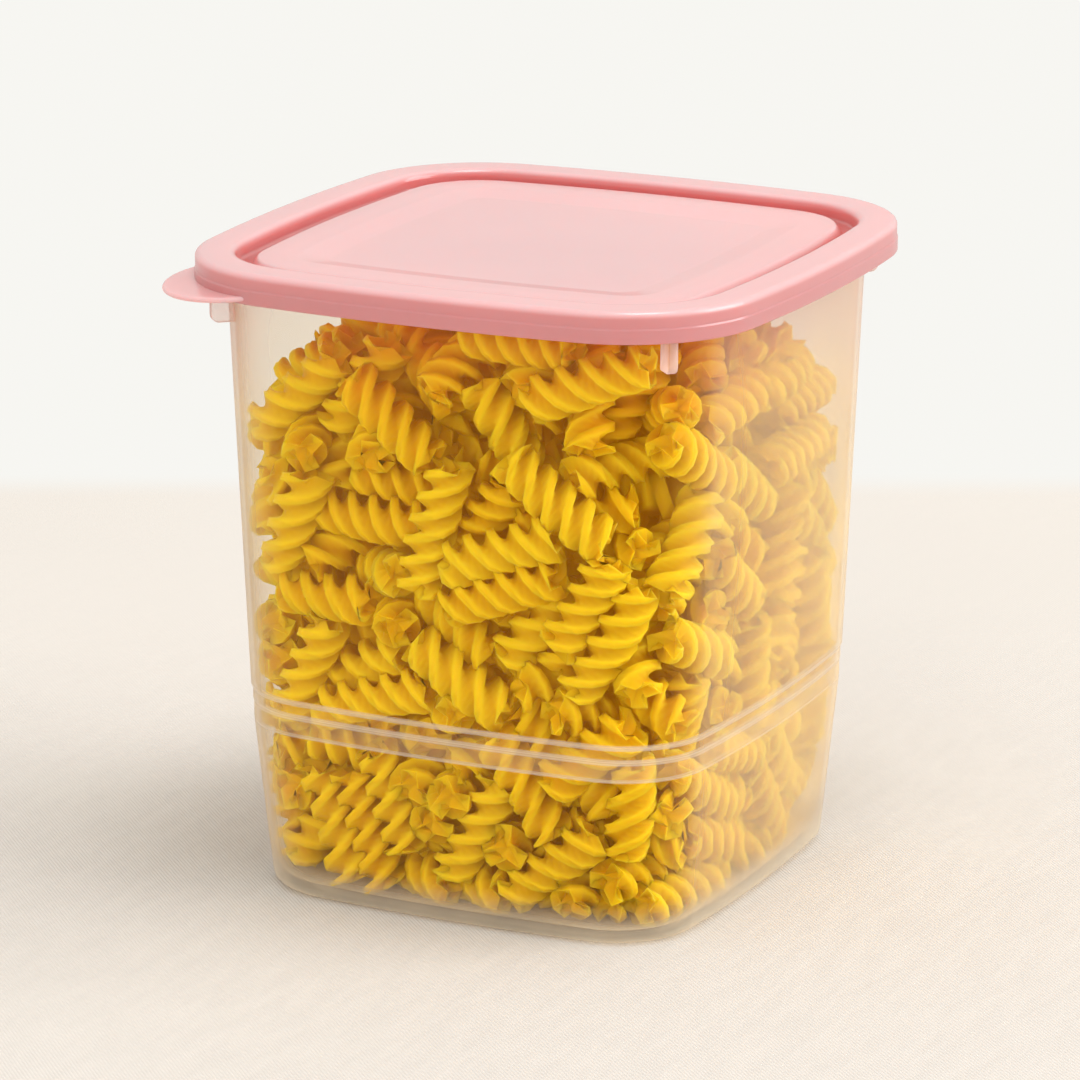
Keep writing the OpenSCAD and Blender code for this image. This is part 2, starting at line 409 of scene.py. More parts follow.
@dataclass(frozen=True)
class MilkyPlastic:
    """Natural moulded polypropylene: clear where it is looked through squarely, milky at a slant."""

    name: str = "milky_plastic"
    tint: Colour = (1.0, 0.985, 0.955)
    veil: Colour = (0.91, 0.87, 0.79)
    square_milk: float = 0.0
    slant_milk: float = 1.15
    slant_power: float = 2.5
    cloud_scale: float = 18.0
    cloud_milk: float = 0.06
    sheen: float = 0.4
    sheen_power: float = 5.0
    square_sheen: float = 0.002
    roughness: float = 0.16
    cloud_roughness: float = 0.1
    back_light: float = 0.76
    band: Tuple[float, float, float] = (0.0402, 0.0447, 0.0482)
    band_milk: Span = (0.17, 0.06)
    band_soft: float = 0.0004
    shoulders: Tuple[float, ...] = (0.0401, 0.0442, 0.0449, 0.0477, 0.0483)
    shoulder_half: float = 0.0001
    shoulder_soft: float = 0.0003
    shoulder_milk: float = 0.28
    shoulder_sheen: float = 0.16
    foot: Span = (0.001, 0.011)
    foot_milk: float = 0.37
    foot_cover: float = 2.5
    foot_shadow: float = 0.5
    foot_veil: Colour = (0.79, 0.71, 0.57)
    foot_back_light: float = 0.35
    mouth: Span = (0.120, 0.146)
    mouth_milk: float = 0.02

    def scatter(self, tree: ShaderTree, colour: Colour, back_light: float) -> Socket:
        """A cloudy shader that passes on, spread out, a share of the light from behind it."""
        front = tree.shader("BsdfDiffuse", {"Color": colour})
        return tree.layered(back_light, front, tree.shader("BsdfTranslucent", {"Color": colour}))

    def material(self) -> bpy.types.Material:
        """Builds the material.

        What is behind shows through a clear share. A veil of cloudy scatter covers it more as
        the wall is seen at a slant, along the step band and at the foot, and the gloss grows
        towards a slant too. Light from the lamps goes straight through, less so at the foot.
        """
        tree = ShaderTree(bpy.data.materials.new(self.name))
        cloud = tree.noise(self.cloud_scale, detail=3.0)
        slant = tree.value("ShaderNodeLayerWeight", None, {"Blend": 0.5}, "Facing")
        height = tree.along("Z")
        low, middle, high = self.band
        lower, upper = self.band_milk
        lines = sum((height.within(z - self.shoulder_half, z + self.shoulder_half,
                                   self.shoulder_soft) for z in self.shoulders), start=0.0)
        foot = (1 - height.step(*self.foot)) * self.foot_milk
        milk = (slant ** self.slant_power) * self.slant_milk + self.square_milk
        milk += height.within(low, middle, self.band_soft) * lower
        milk += height.within(middle, high, self.band_soft) * upper
        milk = milk + lines * self.shoulder_milk + foot + height.step(*self.mouth) * self.mouth_milk
        milk += (cloud - 0.5) * slant * self.cloud_milk
        clear = tree.shader("BsdfTransparent", {"Color": self.tint})
        veil = tree.layered((foot * self.foot_cover).clamped(),
                            self.scatter(tree, self.veil, self.back_light),
                            self.scatter(tree, self.foot_veil, self.foot_back_light))
        shine = (slant ** self.sheen_power) * self.sheen + self.square_sheen
        shine += lines * self.shoulder_sheen
        gloss = tree.shader("BsdfGlossy", {
            "Color": WHITE, "Roughness": cloud * self.cloud_roughness + self.roughness})
        wall = tree.layered(shine.clamped(), tree.layered(milk.clamped(), clear, veil), gloss)
        lamps = tree.value("ShaderNodeLightPath", output="Is Shadow Ray")
        return tree.shown(tree.layered(lamps * (1 - foot * self.foot_shadow), wall, clear))


@dataclass(frozen=True)
class SatinPlastic:
    """Soft coloured lid plastic with a satin moulding grain, its colour painted paler on the top and
    darker on the skirt and in the gutter by light and shade.
    """

    name: str = "satin_pink_plastic"
    # side paints shade on the skirt, top paints light and sheen on the top and the tab, and
    # shaded_groove paints deeper shade in the gutter.
    side: Colour = (0.65, 0.335, 0.345)
    top: Colour = (0.885, 0.665, 0.68)
    shaded_groove: Colour = (0.68, 0.25, 0.25)
    top_z: Span = (0.1482, 0.1498)
    skirt_reach: Span = (0.066, 0.0685)
    gutter_reach: Span = (0.0568, 0.0615)
    gutter_soft: float = 0.001
    gutter_z: Span = (0.1488, 0.1500)
    cloud_scale: float = 14.0
    cloud_span: Span = (0.3, 0.7)
    cloud_dark: float = 0.06
    roughness: float = 0.3
    cloud_roughness: float = 0.12
    through: Colour = (1.0, 0.42, 0.38)
    let_through: float = 0.4
    grain: float = 900.0
    grain_depth: float = 0.000012
    sweep: float = 30.0
    sweep_share: float = 6.0

    def material(self) -> bpy.types.Material:
        """Builds the material: painted shade makes the skirt deeper and the gutter deeper still, and
        the top and the tab are paler with painted light and sheen.

        The skirt is found by the attribute reach, which the tab's mesh doesn't have.
        """
        tree = ShaderTree(bpy.data.materials.new(self.name))
        cloud = tree.noise(self.cloud_scale, detail=3.0)
        reach, height = tree.attribute("reach"), tree.along("Z")
        # Painted shade on the skirt and, deeper, in the gutter; the rest keeps the top's colour with
        # painted light.
        skirt = reach.step(*self.skirt_reach) * (1 - height.step(*self.top_z))
        gutter = reach.within(*self.gutter_reach, self.gutter_soft) * (1 - height.step(*self.gutter_z))
        colour = tree.blend(gutter, tree.blend(skirt, self.top, self.side), self.shaded_groove)
        grain = tree.noise(self.grain, detail=2.0)
        grain += tree.noise(self.sweep, detail=1.0) * self.sweep_share
        plastic = tree.shader("BsdfPrincipled", {
            "Base Color": tree.blend(cloud.step(*self.cloud_span) * self.cloud_dark, colour, BLACK),
            "Roughness": (cloud - 0.5) * self.cloud_roughness + self.roughness,
            "Subsurface Weight": 0.6, "Subsurface Radius": (1.0, 0.4, 0.35),
            "Subsurface Scale": 0.003, "IOR": 1.5,
            "Normal": tree.relief(grain, self.grain_depth),
            "Sheen Weight": 0.2, "Sheen Roughness": 0.4,
            "Coat Weight": 1.0, "Coat Roughness": 0.1, "Coat IOR": 1.7})
        glow = tree.shader("BsdfTranslucent", {"Color": self.through})
        return tree.shown(tree.layered(self.let_through, plastic, glow))


@dataclass(frozen=True)
class DryPasta:
    """Dried durum pasta: golden, smooth and slightly see-through, with painted shade in its grooves and
    near the floor, painted highlights on its blade edges, painted orange light from the lid on top of
    the heap and a faint painted glow.
    """

    name: str = "dry_pasta"
    # shaded_groove paints shade deep between the blades, and the colour grows towards blade at their
    # edges.
    shaded_groove: Colour = (0.66, 0.30, 0.001)
    blade: Colour = (0.68, 0.40, 0.002)
    blade_rim: float = 0.9
    blade_mottle: float = 0.5
    blade_least: float = 0.2
    # pale is partly a random lighter tone and partly a painted highlight on the blade edges, by
    # rim_highlight.
    pale: Colour = (0.76, 0.545, 0.014)
    pale_tone: float = 0.5
    rim_highlight: float = 0.4
    rim_power: float = 3.0
    # lid_light paints orange light, as let through the pink lid, over the top of the heap.
    lid_light: Colour = (0.74, 0.25, 0.003)
    lid_light_z: Span = (0.112, 0.134)
    lid_light_share: float = 0.85
    shaded_z: Span = (0.01, 0.055)
    shaded_pale: float = 0.7
    shaded_glow: float = 0.5
    # glow paints a faint orange light from within, standing in for light bounced through the heap.
    glow: Colour = (0.95, 0.42, 0.005)
    painted_glow_strength: float = 0.075
    roughness: float = 0.45
    mottle_scale: float = 260.0
    mottle_roughness: float = 0.2
    mottle_relief: float = 3.0
    flour_scale: float = 1400.0
    relief_depth: float = 0.00004

    def material(self) -> bpy.types.Material:
        """Builds the material, which reads the attributes rim and tone of a spiral's mesh."""
        tree = ShaderTree(bpy.data.materials.new(self.name))
        rim, tone, height = tree.attribute("rim"), tree.attribute("tone"), tree.along("Z")
        mottle = tree.noise(self.mottle_scale, detail=3.0)
        flour = tree.noise(self.flour_scale, detail=2.0)
        # Painted shade: from the blade edges into the grooves the colour darkens.
        blade = rim * self.blade_rim + mottle * self.blade_mottle - self.blade_least
        body = tree.blend(blade.clamped(), self.shaded_groove, self.blade)
        # Painted orange light from the lid on the top of the heap.
        body = tree.blend(height.step(*self.lid_light_z) * self.lid_light_share, body, self.lid_light)
        lit = height.step(*self.shaded_z)
        # Painted highlight on the blade edges, besides the random tone.
        pale = tone * self.pale_tone + (rim ** self.rim_power) * self.rim_highlight
        pale *= lit * (1 - self.shaded_pale) + self.shaded_pale
        # A faint painted glow, weaker towards the floor.
        glow = lit * (1 - self.shaded_glow) + self.shaded_glow
        return tree.shown(tree.shader("BsdfPrincipled", {
            "Base Color": tree.blend(pale.clamped(), body, self.pale),
            "Roughness": (mottle - 0.5) * self.mottle_roughness + self.roughness,
            "Subsurface Weight": 0.8, "Subsurface Radius": (1.0, 0.85, 0.4),
            "Subsurface Scale": 0.003, "Specular IOR Level": 0.06,
            "Emission Color": tree.blend(glow, BLACK, self.glow),
            "Emission Strength": self.painted_glow_strength,
            "Normal": tree.relief(flour + mottle * self.mottle_relief, self.relief_depth)}))


@dataclass(frozen=True)
class LinenTop:
    """A cream cloth that fades into an off-white ground behind the canister."""

    name: str = "linen_top"
    cloth: Colour = (0.67, 0.63, 0.58)
    ground: Colour = (0.93, 0.922, 0.885)
    thread: float = 0.0011
    thread_share: float = 0.25
    slub_scale: float = 220.0
    slub_stretch: Colour = (1.0, 0.25, 1.0)
    slub_share: float = 0.7
    level: float = 0.35
    fade: Span = (0.322, 0.352)
    blur: Span = (0.0, 0.25)
    blur_share: float = 0.85
    away: Span = (-0.437, 0.900)
    dark: float = 0.86
    dark_weave: float = 0.9
    dark_patch: float = 0.2
    patch_scale: float = 9.0
    relief_depth: float = 0.0003

    def material(self) -> bpy.types.Material:
        """Builds the material.

        Threads run along two directions of the floor. They blur with the distance from the
        canister, away from the camera, and farther on the cloth fades into the ground.
        """
        tree = ShaderTree(bpy.data.materials.new(self.name))
        across, along = tree.along("X"), tree.along("Y")
        turns = 2 * math.pi / self.thread
        warp, weft = tree.math("SINE", across * turns), tree.math("SINE", along * turns)
        slub = tree.noise(self.slub_scale, detail=2.0, stretch=self.slub_stretch)
        distance = across * self.away[0] + along * self.away[1]
        weave = warp * weft * self.thread_share + slub * self.slub_share - self.level
        weave = weave * (1 - distance.step(*self.blur) * self.blur_share) + self.level
        patch = tree.noise(self.patch_scale, detail=2.0)
        cloth = tree.shader("BsdfPrincipled", {
            "Base Color": tree.blend((weave * self.dark_weave + patch * self.dark_patch).clamped(),
                                     self.cloth, tuple(c * self.dark for c in self.cloth)),
            "Roughness": 0.9, "Specular IOR Level": 0.1,
            "Normal": tree.relief(weave, self.relief_depth)})
        ground = tree.shader("Emission", {"Color": self.ground})
        return tree.shown(tree.layered(distance.step(*self.fade) * tree.seen(), cloth, ground))


# ------------------------------------------------------------------ the canister


@dataclass(frozen=True)
class Sizes:
    """Driving sizes of the canister and its lid, in metres. Overall sizes come from the frame."""

    body_h: float
    mouth_hw: float
    band_hw: float = 115.9 / 2 * MM
    base_hw: float = 108.4 / 2 * MM
    mouth_corner_r: float = 25 * MM
    base_corner_r: float = 19 * MM
    side_r: float = 430 * MM
    wall_t: float = 1.1 * MM
    floor_t: float = 1.5 * MM
    base_round_r: float = 3.2 * MM
    floor_round_r: float = 4 * MM
    foot_w: float = 3 * MM
    foot_recess: float = 0.9 * MM
    band_z: float = 40.2 * MM
    band_h: float = 8 * MM
    band_mid_h: float = 4.5 * MM
    mid_step: float = 0.2 * MM
    top_step: float = 0.35 * MM
    shoulder_h: float = 0.9 * MM
    rim_reach: float = 5.45 * MM
    rim_t: float = 1.4 * MM
    lip_h: float = 5.1 * MM
    lip_t: float = 1.3 * MM
    rim_round_r: float = 0.9 * MM
    rib_t: float = 2.2 * MM
    rib_drop: float = 8.4 * MM
    rib_inset: float = 0.65 * MM
    rib_round_r: float = 1.8 * MM
    lid_t: float = 1.2 * MM
    skirt_t: float = 1.5 * MM
    skirt_h: float = 7.2 * MM
    skirt_band_h: float = 3.3 * MM
    skirt_band_step: float = 0.2 * MM
    lid_round_r: float = 1.4 * MM
    gutter_edge_r: float = 2.2 * MM
    bead_h: float = 1.2 * MM
    plug_t: float = 1 * MM
    plug_h: float = 6.9 * MM
    gutter_depth: float = 3.9 * MM
    gutter_w: float = 3.45 * MM
    panel_drop: float = 1.6 * MM
    panel_wall_run: float = 1.4 * MM
    border_w: float = 9 * MM
    border_crown: float = 0.15 * MM
    dish_run: float = 6.8 * MM
    dish_depth: float = 0.95 * MM
    tab_r: float = 18 * MM
    tab_reach: float = 8 * MM
    tab_t: float = 1.2 * MM
    tab_droop: float = math.radians(5)
    tab_root_r: float = 5 * MM
    rim_gap: float = 0.3 * MM
    bead_gap: float = 0.15 * MM
    seat_gap: float = 0.2 * MM
    plug_gap: float = 0.2 * MM

    @classmethod
    def from_frame(cls) -> "Sizes":
        """Takes the height and the mouth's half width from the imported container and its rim."""
        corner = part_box(Body.CONTAINER.value)[1]
        return cls(body_h=corner[2], mouth_hw=corner[0] - cls.rim_reach)

    @property
    def floor_z(self) -> float:
        """Height of the floor's upper side."""
        return self.foot_recess + self.floor_t

    @property
    def band_top_z(self) -> float:
        """Height of the step band's upper end."""
        return self.band_z + self.band_h

    @property
    def band_top_hw(self) -> float:
        """Half width at the step band's upper end."""
        return self.band_hw + self.mid_step + self.top_step

    @property
    def rim_under_z(self) -> float:
        """Height of the rim's underside."""
        return self.body_h - self.rim_t

    @property
    def lip_z(self) -> float:
        """Height of the turned-down lip's lower edge."""
        return self.body_h - self.lip_h

    @property
    def ceiling_z(self) -> float:
        """Height of the lid's underside over the rim."""
        return self.body_h + self.seat_gap

    @property
    def lid_top_z(self) -> float:
        """Height of the lid's top."""
        return self.ceiling_z + self.lid_t

    @property
    def skirt_z(self) -> float:
        """Height of the skirt's lower edge."""
        return self.lid_top_z - self.skirt_h

    @property
    def skirt_in(self) -> float:
        """Inside of the skirt, as a distance outside the mouth."""
        return self.rim_reach + self.rim_gap

    @property
    def skirt_out(self) -> float:
        """Outside of the skirt, as a distance outside the mouth."""
        return self.skirt_in + self.skirt_t

    def wall_corner_r(self, z: Array) -> Array:
        """Corner radius of the wall in plan at each height."""
        share = np.clip(z / self.rim_under_z, 0, 1)
        return self.base_corner_r + (self.mouth_corner_r - self.base_corner_r) * share

    def wall_hw(self, z: Array) -> Array:
        """Half width of the wall's outside at each height."""
        heights = [0.0, self.band_z, self.band_top_z, self.rim_under_z]
        return np.interp(z, heights, [self.base_hw, self.band_hw, self.band_top_hw, self.mouth_hw])

    def room_hw(self, z: Array) -> Array:
        """Half width of the wall's inside at each height."""
        return self.wall_hw(z) - self.wall_t

    def corner_middle(self, hw: Array, r: Array) -> Array:
        """Distance of a corner arc's middle from each axis, as in bowed_squares."""
        k = self.side_r - hw
        return (np.sqrt(2 * (self.side_r - r) ** 2 - k ** 2) - k) / 2

    def diagonal(self, out: float) -> float:
        """Distance from the axis to the corner of the mouth's outline, moved out."""
        r = self.mouth_corner_r + out
        return math.sqrt(2) * float(self.corner_middle(self.mouth_hw + out, r)) + r

    def at_wall(self, hw: float, z: float, rounding: float, inset: float = 0.0) -> Corner:
        """A section corner on the wall, moved in by an inset."""
        return (hw - inset, z, self.wall_corner_r(z) - inset, rounding)

    def at_mouth(self, out: float, z: float, rounding: float, least: float = 5 * MM) -> Corner:
        """A section corner at a distance outside the mouth."""
        return (self.mouth_hw + out, z, max(self.mouth_corner_r + out, least), rounding)


class Container:
    """The moulded canister: shell with foot, step band and rim, and four ribs under the rim."""

    rib_rows: int = 9

    def __init__(self, sizes: Sizes, wall: MilkyPlastic, rib: MilkyPlastic) -> None:
        """Keeps the sizes and builds the finishes of the thin wall and of the thicker ribs."""
        self.sizes = sizes
        self.wall_finish = wall.material()
        self.rib_finish = rib.material()

    def section(self) -> Array:
        """The whole section, from the middle of the foot, up the outside and down the inside."""
        s = self.sizes
        small, edge, lip_edge, bend = 0.35 * MM, 0.4 * MM, 0.5 * MM, 1.2 * MM
        centre_hw, centre_r = 0.2 * s.base_hw, 0.2 * s.base_corner_r
        lean = (s.band_hw - s.base_hw) / s.band_z
        foot_out = s.base_hw + s.base_round_r * lean - s.base_round_r * math.hypot(1, lean)
        low_shoulder = s.band_z + s.band_mid_h - s.shoulder_h
        wall = [
            (s.band_hw, s.band_z, bend),
            (s.band_hw, low_shoulder, small),
            (s.band_hw + s.mid_step, low_shoulder + s.shoulder_h, small),
            (s.band_hw + s.mid_step, s.band_top_z - s.shoulder_h, small),
            (s.band_top_hw, s.band_top_z, small),
        ]
        floor_hw = s.base_hw + s.floor_z * lean
        corners = [
            (centre_hw, s.foot_recess, centre_r, 0.0),
            s.at_wall(foot_out - s.foot_w - s.foot_recess, s.foot_recess, edge),
            s.at_wall(foot_out - s.foot_w, 0.0, lip_edge),
            s.at_wall(s.base_hw, 0.0, s.base_round_r),
            *[s.at_wall(*w) for w in wall],
            s.at_mouth(0.0, s.rim_under_z, s.rim_round_r),
            s.at_mouth(s.rim_reach - s.lip_t, s.rim_under_z, small),
            s.at_mouth(s.rim_reach - s.lip_t, s.lip_z, lip_edge),
            s.at_mouth(s.rim_reach, s.lip_z, lip_edge),
            s.at_mouth(s.rim_reach, s.body_h, s.rim_round_r),
            s.at_mouth(-s.wall_t, s.body_h, s.rim_round_r),
            *[s.at_wall(*w, inset=s.wall_t) for w in reversed(wall)],
            s.at_wall(floor_hw, s.floor_z, s.floor_round_r, inset=s.wall_t),
            (centre_hw, s.floor_z, centre_r, 0.0),
        ]
        return rounded_section(corners)

    def rib(self, number: int) -> Piece:
        """A fin on a diagonal under the rim.

        Its side view is a rounded outline in the plane of the diagonal. The outline is carried
        across the fin's thickness, drawn in towards its middle at both faces so that the
        edges are rounded, and closed by a fan on each face.

        Args:
            number: Which corner, 0 to 3, counter-clockwise from +X +Y.

        Returns:
            The piece.
        """
        s = self.sizes
        low, high = s.lip_z - s.rib_drop, s.rim_under_z
        reach = s.diagonal(s.rim_reach) - s.rib_inset
        heights = np.array([low, high])
        hw = s.wall_hw(heights)
        radii = s.wall_corner_r(heights)
        small, edge, overlap = 0.1 * MM, 0.35 * MM, 0.3 * MM
        roots = math.sqrt(2) * s.corner_middle(hw, radii) + radii - overlap
        outline = rounded_section([
            (roots[1], high, 0, 0), (roots[0], low, 0, overlap), (reach, low, 0, s.rib_round_r),
            (reach, high, 0, small), (roots[1], high, 0, 0)], steps=6)[1:, :2]
        middle = outline.mean(axis=0)
        turn = np.linspace(0, math.pi, self.rib_rows)
        across = np.where(turn < math.pi / 2, -1, 1) * (s.rib_t / 2 - edge) - edge * np.cos(turn)
        inset = edge * (1 - np.sin(turn))
        away = unit(middle - outline)
        flat = outline[None] + away[None] * inset[:, None, None]
        angle = math.pi / 4 + number * math.pi / 2
        radial = np.array([math.cos(angle), math.sin(angle)])
        side = np.array([-math.sin(angle), math.cos(angle)])

        def placed(section: Array, offset: Array) -> Array:
            """Turns places in the fin's plane, and offsets across it, into points."""
            plan = section[..., :1] * radial + offset[..., None] * side
            return np.concatenate([plan, section[..., 1:]], axis=-1)

        rings = placed(flat, np.broadcast_to(across[:, None], flat.shape[:2])).reshape(-1, 3)
        ends = placed(np.stack([middle, middle]), across[[0, -1]])
        faces, fans = (make(*flat.shape[:2])[:, ::-1] for make in (ring_faces, fan_faces))
        return mesh_object(f"corner_rib_{number + 1}", np.concatenate([rings, ends]), faces, [fans])

    def build(self) -> List[Piece]:
        """Makes the shell and the ribs, dressed and riding on the container's body."""
        shell = lofted("canister_shell", self.section(), self.sizes.side_r)
        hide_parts(Body.CONTAINER.value)
        pieces = [shell, *[self.rib(i) for i in range(4)]]
        for piece in pieces:
            piece.data.materials.append(self.wall_finish if piece is shell else self.rib_finish)
            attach(piece, Body.CONTAINER.value)
            LOG.info("%s: %d faces", piece.name, len(piece.data.polygons))
        return pieces


class Lid:
    """The soft lid: dished panel, gutter, sealing lip, skirt and pull tab."""

    fillet_steps: int = 10
    tip_steps: int = 40
    flat_rows: int = 4
    edge_rows: int = 9

    def __init__(self, sizes: Sizes, finish: SatinPlastic) -> None:
        """Keeps the sizes and builds the finish."""
        self.sizes = sizes
        self.finish = finish.material()

    def section(self) -> Array:
        """The section from the middle of the underside, out to the skirt and back over the top."""
        s = self.sizes
        t, small, soft, crown_r = s.lid_t, 0.35 * MM, 9 * MM, 40 * MM
        bead_edge, step_edge, lip_edge, hem = 0.15 * MM, 0.3 * MM, 0.4 * MM, 0.45 * MM
        centre_hw, centre_r = 0.3 * s.mouth_hw, 2 * MM
        gutter_z = s.lid_top_z - s.gutter_depth
        panel_z = s.lid_top_z - s.panel_drop
        dish_z = panel_z - s.dish_depth
        plug_z = s.lid_top_z - s.plug_h
        plug_out = -s.wall_t - s.plug_gap
        plug_in = plug_out - s.plug_t
        gutter_in = plug_in - s.gutter_w
        panel_edge = gutter_in - s.panel_wall_run
        border_in = panel_edge - s.border_w
        dish_edge = border_in - s.dish_run
        bead_in = s.rim_reach + s.bead_gap
        upper_out = s.skirt_out - s.skirt_band_step
        band_z = s.skirt_z + s.skirt_band_h
        around = [
            (dish_edge, dish_z - t, soft),
            (border_in, panel_z - t, soft),
            (panel_edge - t, panel_z - t, s.rim_round_r),
            (gutter_in - t / 2, gutter_z - t, small),
            (plug_in, gutter_z - t, small),
            (plug_in, plug_z, lip_edge),
            (plug_out, plug_z, lip_edge),
            (plug_out, s.ceiling_z, s.rim_round_r),
            (s.skirt_in, s.ceiling_z, s.rim_round_r),
            (s.skirt_in, s.skirt_z + s.bead_h, bead_edge),
            (bead_in, s.skirt_z + s.bead_h * 0.75, bead_edge),
            (bead_in, s.skirt_z + s.bead_h * 0.25, bead_edge),
            (s.skirt_in + s.skirt_t / 8, s.skirt_z, bead_edge),
            (s.skirt_out, s.skirt_z, hem),
            (s.skirt_out, band_z - s.skirt_band_step, step_edge),
            (upper_out, band_z + s.skirt_band_step, step_edge),
            (upper_out, s.lid_top_z, s.lid_round_r),
            (plug_in, s.lid_top_z, s.gutter_edge_r),
            (plug_in, gutter_z, s.rim_round_r),
            (gutter_in, gutter_z, s.rim_round_r),
            (panel_edge, panel_z, s.rim_round_r),
            (border_in + s.border_w / 2, panel_z + s.border_crown, crown_r),
            (border_in, panel_z, soft),
            (dish_edge, dish_z, soft),
        ]
        return rounded_section([(centre_hw, dish_z - t, centre_r, 0.0),
                                *[s.at_mouth(*corner) for corner in around],
                                (centre_hw, dish_z, centre_r, 0.0)])

    def tab(self) -> Piece:
        """The thin tongue at one corner of the skirt.

        Its outer edge is a fillet, a wide arc and a fillet, tangent to the skirt's corner arc.
        Its inner edge is the same span of the corner arc, inside the skirt. The upper side,
        the rounded edge and the lower side are rows between the two, and the whole tongue is
        turned down about the skirt's corner.

        Returns:
            The piece.
        """
        s = self.sizes
        seat = s.skirt_out - s.skirt_t / 3
        root_r = s.mouth_corner_r + seat
        root_at = math.sqrt(2) * float(s.corner_middle(s.mouth_hw + seat, root_r))
        corner = s.diagonal(s.skirt_out)
        tip_at = corner + s.tab_reach - s.tab_r
        gap = tip_at - root_at
        far, near = root_r + s.tab_root_r, s.tab_r + s.tab_root_r
        fillet_x = (far ** 2 - near ** 2 + gap ** 2) / (2 * gap)
        fillet_y = math.sqrt(far ** 2 - fillet_x ** 2)
        root_angle = math.atan2(fillet_y, fillet_x)
        tip_angle = math.atan2(fillet_y, fillet_x - gap)
        fillet = arc_points((root_at + fillet_x, -fillet_y), s.tab_root_r,
                            math.pi - root_angle, math.pi - tip_angle, self.fillet_steps)
        tip = arc_points((tip_at, 0), s.tab_r, -tip_angle, tip_angle, self.tip_steps)
        edge = np.concatenate([fillet[:-1], tip, (fillet * (1, -1))[::-1][1:]])
        span = np.linspace(-root_angle, root_angle, len(edge))
        inner_r = root_r - s.skirt_t / 3
        inner = np.stack([root_at + inner_r * np.cos(span), inner_r * np.sin(span)], axis=1)
        half = s.tab_t / 2
        turn = np.linspace(math.pi / 2, -math.pi / 2, self.edge_rows)
        slope = edge - inner
        reach = np.linalg.norm(slope, axis=1)
        flat, level = np.arange(self.flat_rows) / self.flat_rows, np.full(self.flat_rows, half)
        share, pull, height = (np.concatenate(rows)[:, None] for rows in (
            (flat, np.ones(self.edge_rows), flat[::-1]),
            (level, half * (1 - np.cos(turn)), level),
            (level, half * np.sin(turn), -level)))
        along = np.clip(share - pull * share / np.maximum(reach, half), 0, 1)
        plan = inner[None] + along[..., None] * slope[None]
        lift = half + s.tab_t / 8 + height
        out = plan[..., 0] - corner
        cos, sin = math.cos(s.tab_droop), math.sin(s.tab_droop)
        x = corner + out * cos + lift * sin
        z = s.skirt_z - out * sin + lift * cos
        diagonal = math.radians(225)
        grid = np.stack([x * math.cos(diagonal) - plan[..., 1] * math.sin(diagonal),
                         x * math.sin(diagonal) + plan[..., 1] * math.cos(diagonal), z], axis=-1)
        rows, count = grid.shape[:2]
        closed = np.concatenate([grid, grid[:1]])
        return mesh_object("pull_tab", closed.reshape(-1, 3),
                           ring_faces(rows + 1, count, closed=False))

    def build(self) -> List[Piece]:
        """Makes the lid and its tab, dressed and riding on the lid's body."""
        cover = lofted("soft_lid", self.section(), self.sizes.side_r)
        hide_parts(Body.LID.value)
        pieces = [cover, self.tab()]
        for piece in pieces:
            piece.data.materials.append(self.finish)
            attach(piece, Body.LID.value)
            LOG.info("%s: %d faces", piece.name, len(piece.data.polygons))
        return pieces


# ------------------------------------------------------------------ the pasta


@dataclass(frozen=True)
class HeapPlane:
    """A plane that the heap stays under: z at the axis, and how it rises along x and y."""

    height: float
    slope_x: float = 0.0
    slope_y: float = 0.0


